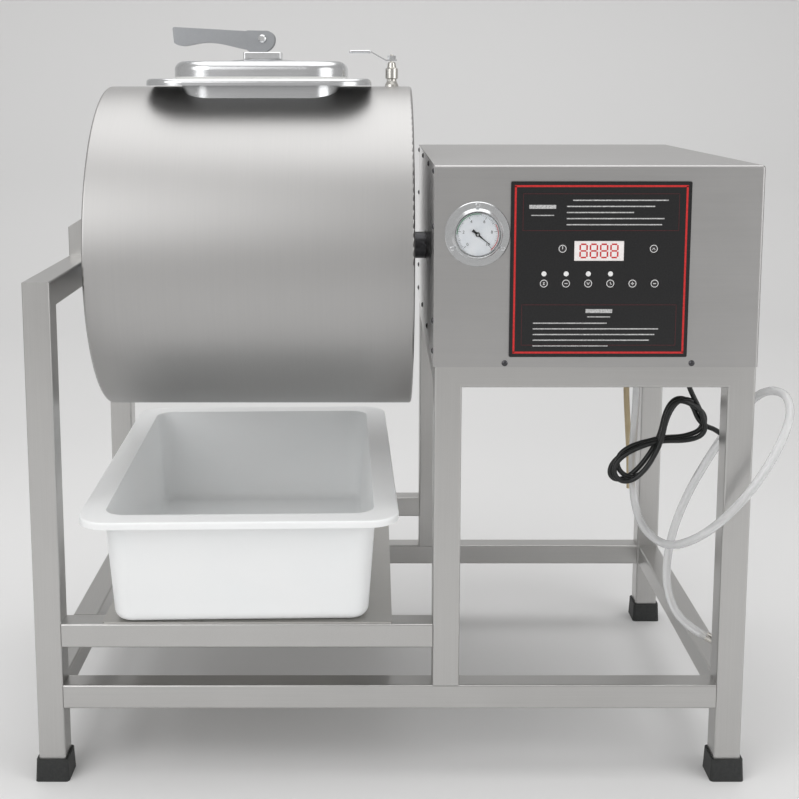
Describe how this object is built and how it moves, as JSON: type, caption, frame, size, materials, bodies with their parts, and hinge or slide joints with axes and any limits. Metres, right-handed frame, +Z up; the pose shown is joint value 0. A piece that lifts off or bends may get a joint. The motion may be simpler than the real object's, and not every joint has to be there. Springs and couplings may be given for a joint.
{
  "type": "vacuum tumbler",
  "caption": "Free-standing meat vacuum tumbler: level steel drum with a clamped lid on a square-tube frame, control box at one side and a catch basin on the shelf below.",
  "frame": {"origin": "on the floor, under the middle of the machine's outline without its loose cord and hoses", "axes": "+X along the drum's axis towards the control box, -Y to the front with the gauge and keys, +Z up"},
  "size_m": [1.061, 0.6495, 1.0718],
  "materials": {
    "stainless": "satin",
    "bright_steel": "polished",
    "galvanised": "dull",
    "dark_steel": "oiled",
    "cast_grey": "satin",
    "motor_paint": "satin",
    "brass": "satin",
    "nickel": "polished",
    "lever_alloy": "cast",
    "black_rubber": "matt",
    "silicone": "matt",
    "white_tub": "satin",
    "black_plastic": "gloss",
    "panel_black": "satin",
    "display_tint": "gloss",
    "key_light": "satin",
    "key_green": "satin",
    "key_red": "satin",
    "lens_glass": "clear",
    "clear_vinyl": "clear",
    "cream_rubber": "matt"
  },
  "bodies": {
    "frame": {"legs_left": "stainless", "legs_middle": "stainless", "legs_right": "stainless", "left_crossbar": "stainless", "top_rails_long": "stainless", "top_rails_side": "stainless", "bottom_rails_long": "stainless", "bottom_rails_side": "stainless", "shelf_rails": "stainless", "shelf_plate": "stainless", "rubber_feet": "black_rubber", "bearing_post": "stainless", "left_bearing_plate": "stainless", "left_bearing_housing": "cast_grey", "right_bearing_stand": "cast_grey", "bearing_bolts": "bright_steel", "box_cover": "stainless", "box_left_panel": "bright_steel", "box_base": "stainless", "box_screws": "dark_steel", "gearbox": "cast_grey", "drive_motor": "motor_paint", "vacuum_pump": "motor_paint", "gauge_case": "bright_steel", "gauge_lens": "lens_glass", "control_panel": "panel_black", "display_window": "display_tint", "outlet_fittings": "black_plastic", "power_cord": "black_rubber", "cord_hank": "black_rubber", "power_plug": "black_rubber", "clear_hose": "clear_vinyl", "hose_coupling": "nickel", "drain_tube": "cream_rubber"},
    "basin": {"basin": "white_tub"},
    "drum": {"drum_shell": "stainless", "drum_ends": "stainless", "drum_vanes": "stainless", "mouth_frame": "stainless", "drum_shaft_left": "bright_steel", "drum_shaft_right": "dark_steel", "valve_body": "nickel"},
    "lid": {"lid_gasket": "silicone", "lid_cover": "stainless", "lid_clamp_seat": "bright_steel"},
    "lid_clamp": {"clamp_stud": "bright_steel", "clamp_bar": "bright_steel", "lever_pin": "bright_steel"},
    "cam_lever": {"cam_lever": "lever_alloy"},
    "valve": {"valve_ball": "nickel", "valve_lever": "bright_steel"},
    "needle": {"gauge_needle": "black_plastic"},
    "key_power": {"key_power": "key_red"},
    "key_start": {"key_start": "key_green"},
    "key_vacuum": {"key_vacuum": "key_light"},
    "key_tumble": {"key_tumble": "key_light"},
    "key_reverse": {"key_reverse": "key_light"},
    "key_timer": {"key_timer": "key_light"},
    "key_plus": {"key_plus": "key_light"},
    "key_minus": {"key_minus": "key_light"}
  },
  "joints": [
    {"name": "drum_spin", "type": "hinge", "parent": "frame", "child": "drum", "pos_m": [-0.1935, 0.0175, 0.734], "axis": [1, 0, 0], "continuous": true},
    {"name": "lid_lift", "type": "slide", "parent": "drum", "child": "lid", "axis": [0, 0, -1], "range_m": [-0.16, 0]},
    {"name": "clamp_turn", "type": "hinge", "parent": "lid", "child": "lid_clamp", "pos_m": [-0.1935, 0.0175, 1], "axis": [0, 0, 1], "range_deg": [0, 90]},
    {"name": "cam_lever_hinge", "type": "hinge", "parent": "lid_clamp", "child": "cam_lever", "pos_m": [-0.1935, 0.0175, 1.054], "axis": [0, -1, 0], "range_deg": [-90, 0]},
    {"name": "valve_turn", "type": "hinge", "parent": "drum", "child": "valve", "pos_m": [0.005, 0.0175, 1], "axis": [0, 0, 1], "range_deg": [0, 90]},
    {"name": "needle_turn", "type": "hinge", "parent": "frame", "child": "needle", "pos_m": [0.1167, -0.284, 0.7855], "axis": [0, -1, 0], "range_deg": [0, 270]},
    {"name": "basin_pull", "type": "slide", "parent": "frame", "child": "basin", "axis": [0, -1, 0], "range_m": [0, 0.35]},
    {"name": "key_power_press", "type": "slide", "parent": "frame", "child": "key_power", "axis": [0, 1, 0], "range_m": [0, 0.0005], "stiffness_N_per_m": 3000},
    {"name": "key_start_press", "type": "slide", "parent": "frame", "child": "key_start", "axis": [0, 1, 0], "range_m": [0, 0.0005], "stiffness_N_per_m": 3000},
    {"name": "key_vacuum_press", "type": "slide", "parent": "frame", "child": "key_vacuum", "axis": [0, 1, 0], "range_m": [0, 0.0005], "stiffness_N_per_m": 3000},
    {"name": "key_tumble_press", "type": "slide", "parent": "frame", "child": "key_tumble", "axis": [0, 1, 0], "range_m": [0, 0.0005], "stiffness_N_per_m": 3000},
    {"name": "key_reverse_press", "type": "slide", "parent": "frame", "child": "key_reverse", "axis": [0, 1, 0], "range_m": [0, 0.0005], "stiffness_N_per_m": 3000},
    {"name": "key_timer_press", "type": "slide", "parent": "frame", "child": "key_timer", "axis": [0, 1, 0], "range_m": [0, 0.0005], "stiffness_N_per_m": 3000},
    {"name": "key_plus_press", "type": "slide", "parent": "frame", "child": "key_plus", "axis": [0, 1, 0], "range_m": [0, 0.0005], "stiffness_N_per_m": 3000},
    {"name": "key_minus_press", "type": "slide", "parent": "frame", "child": "key_minus", "axis": [0, 1, 0], "range_m": [0, 0.0005], "stiffness_N_per_m": 3000}
  ]
}
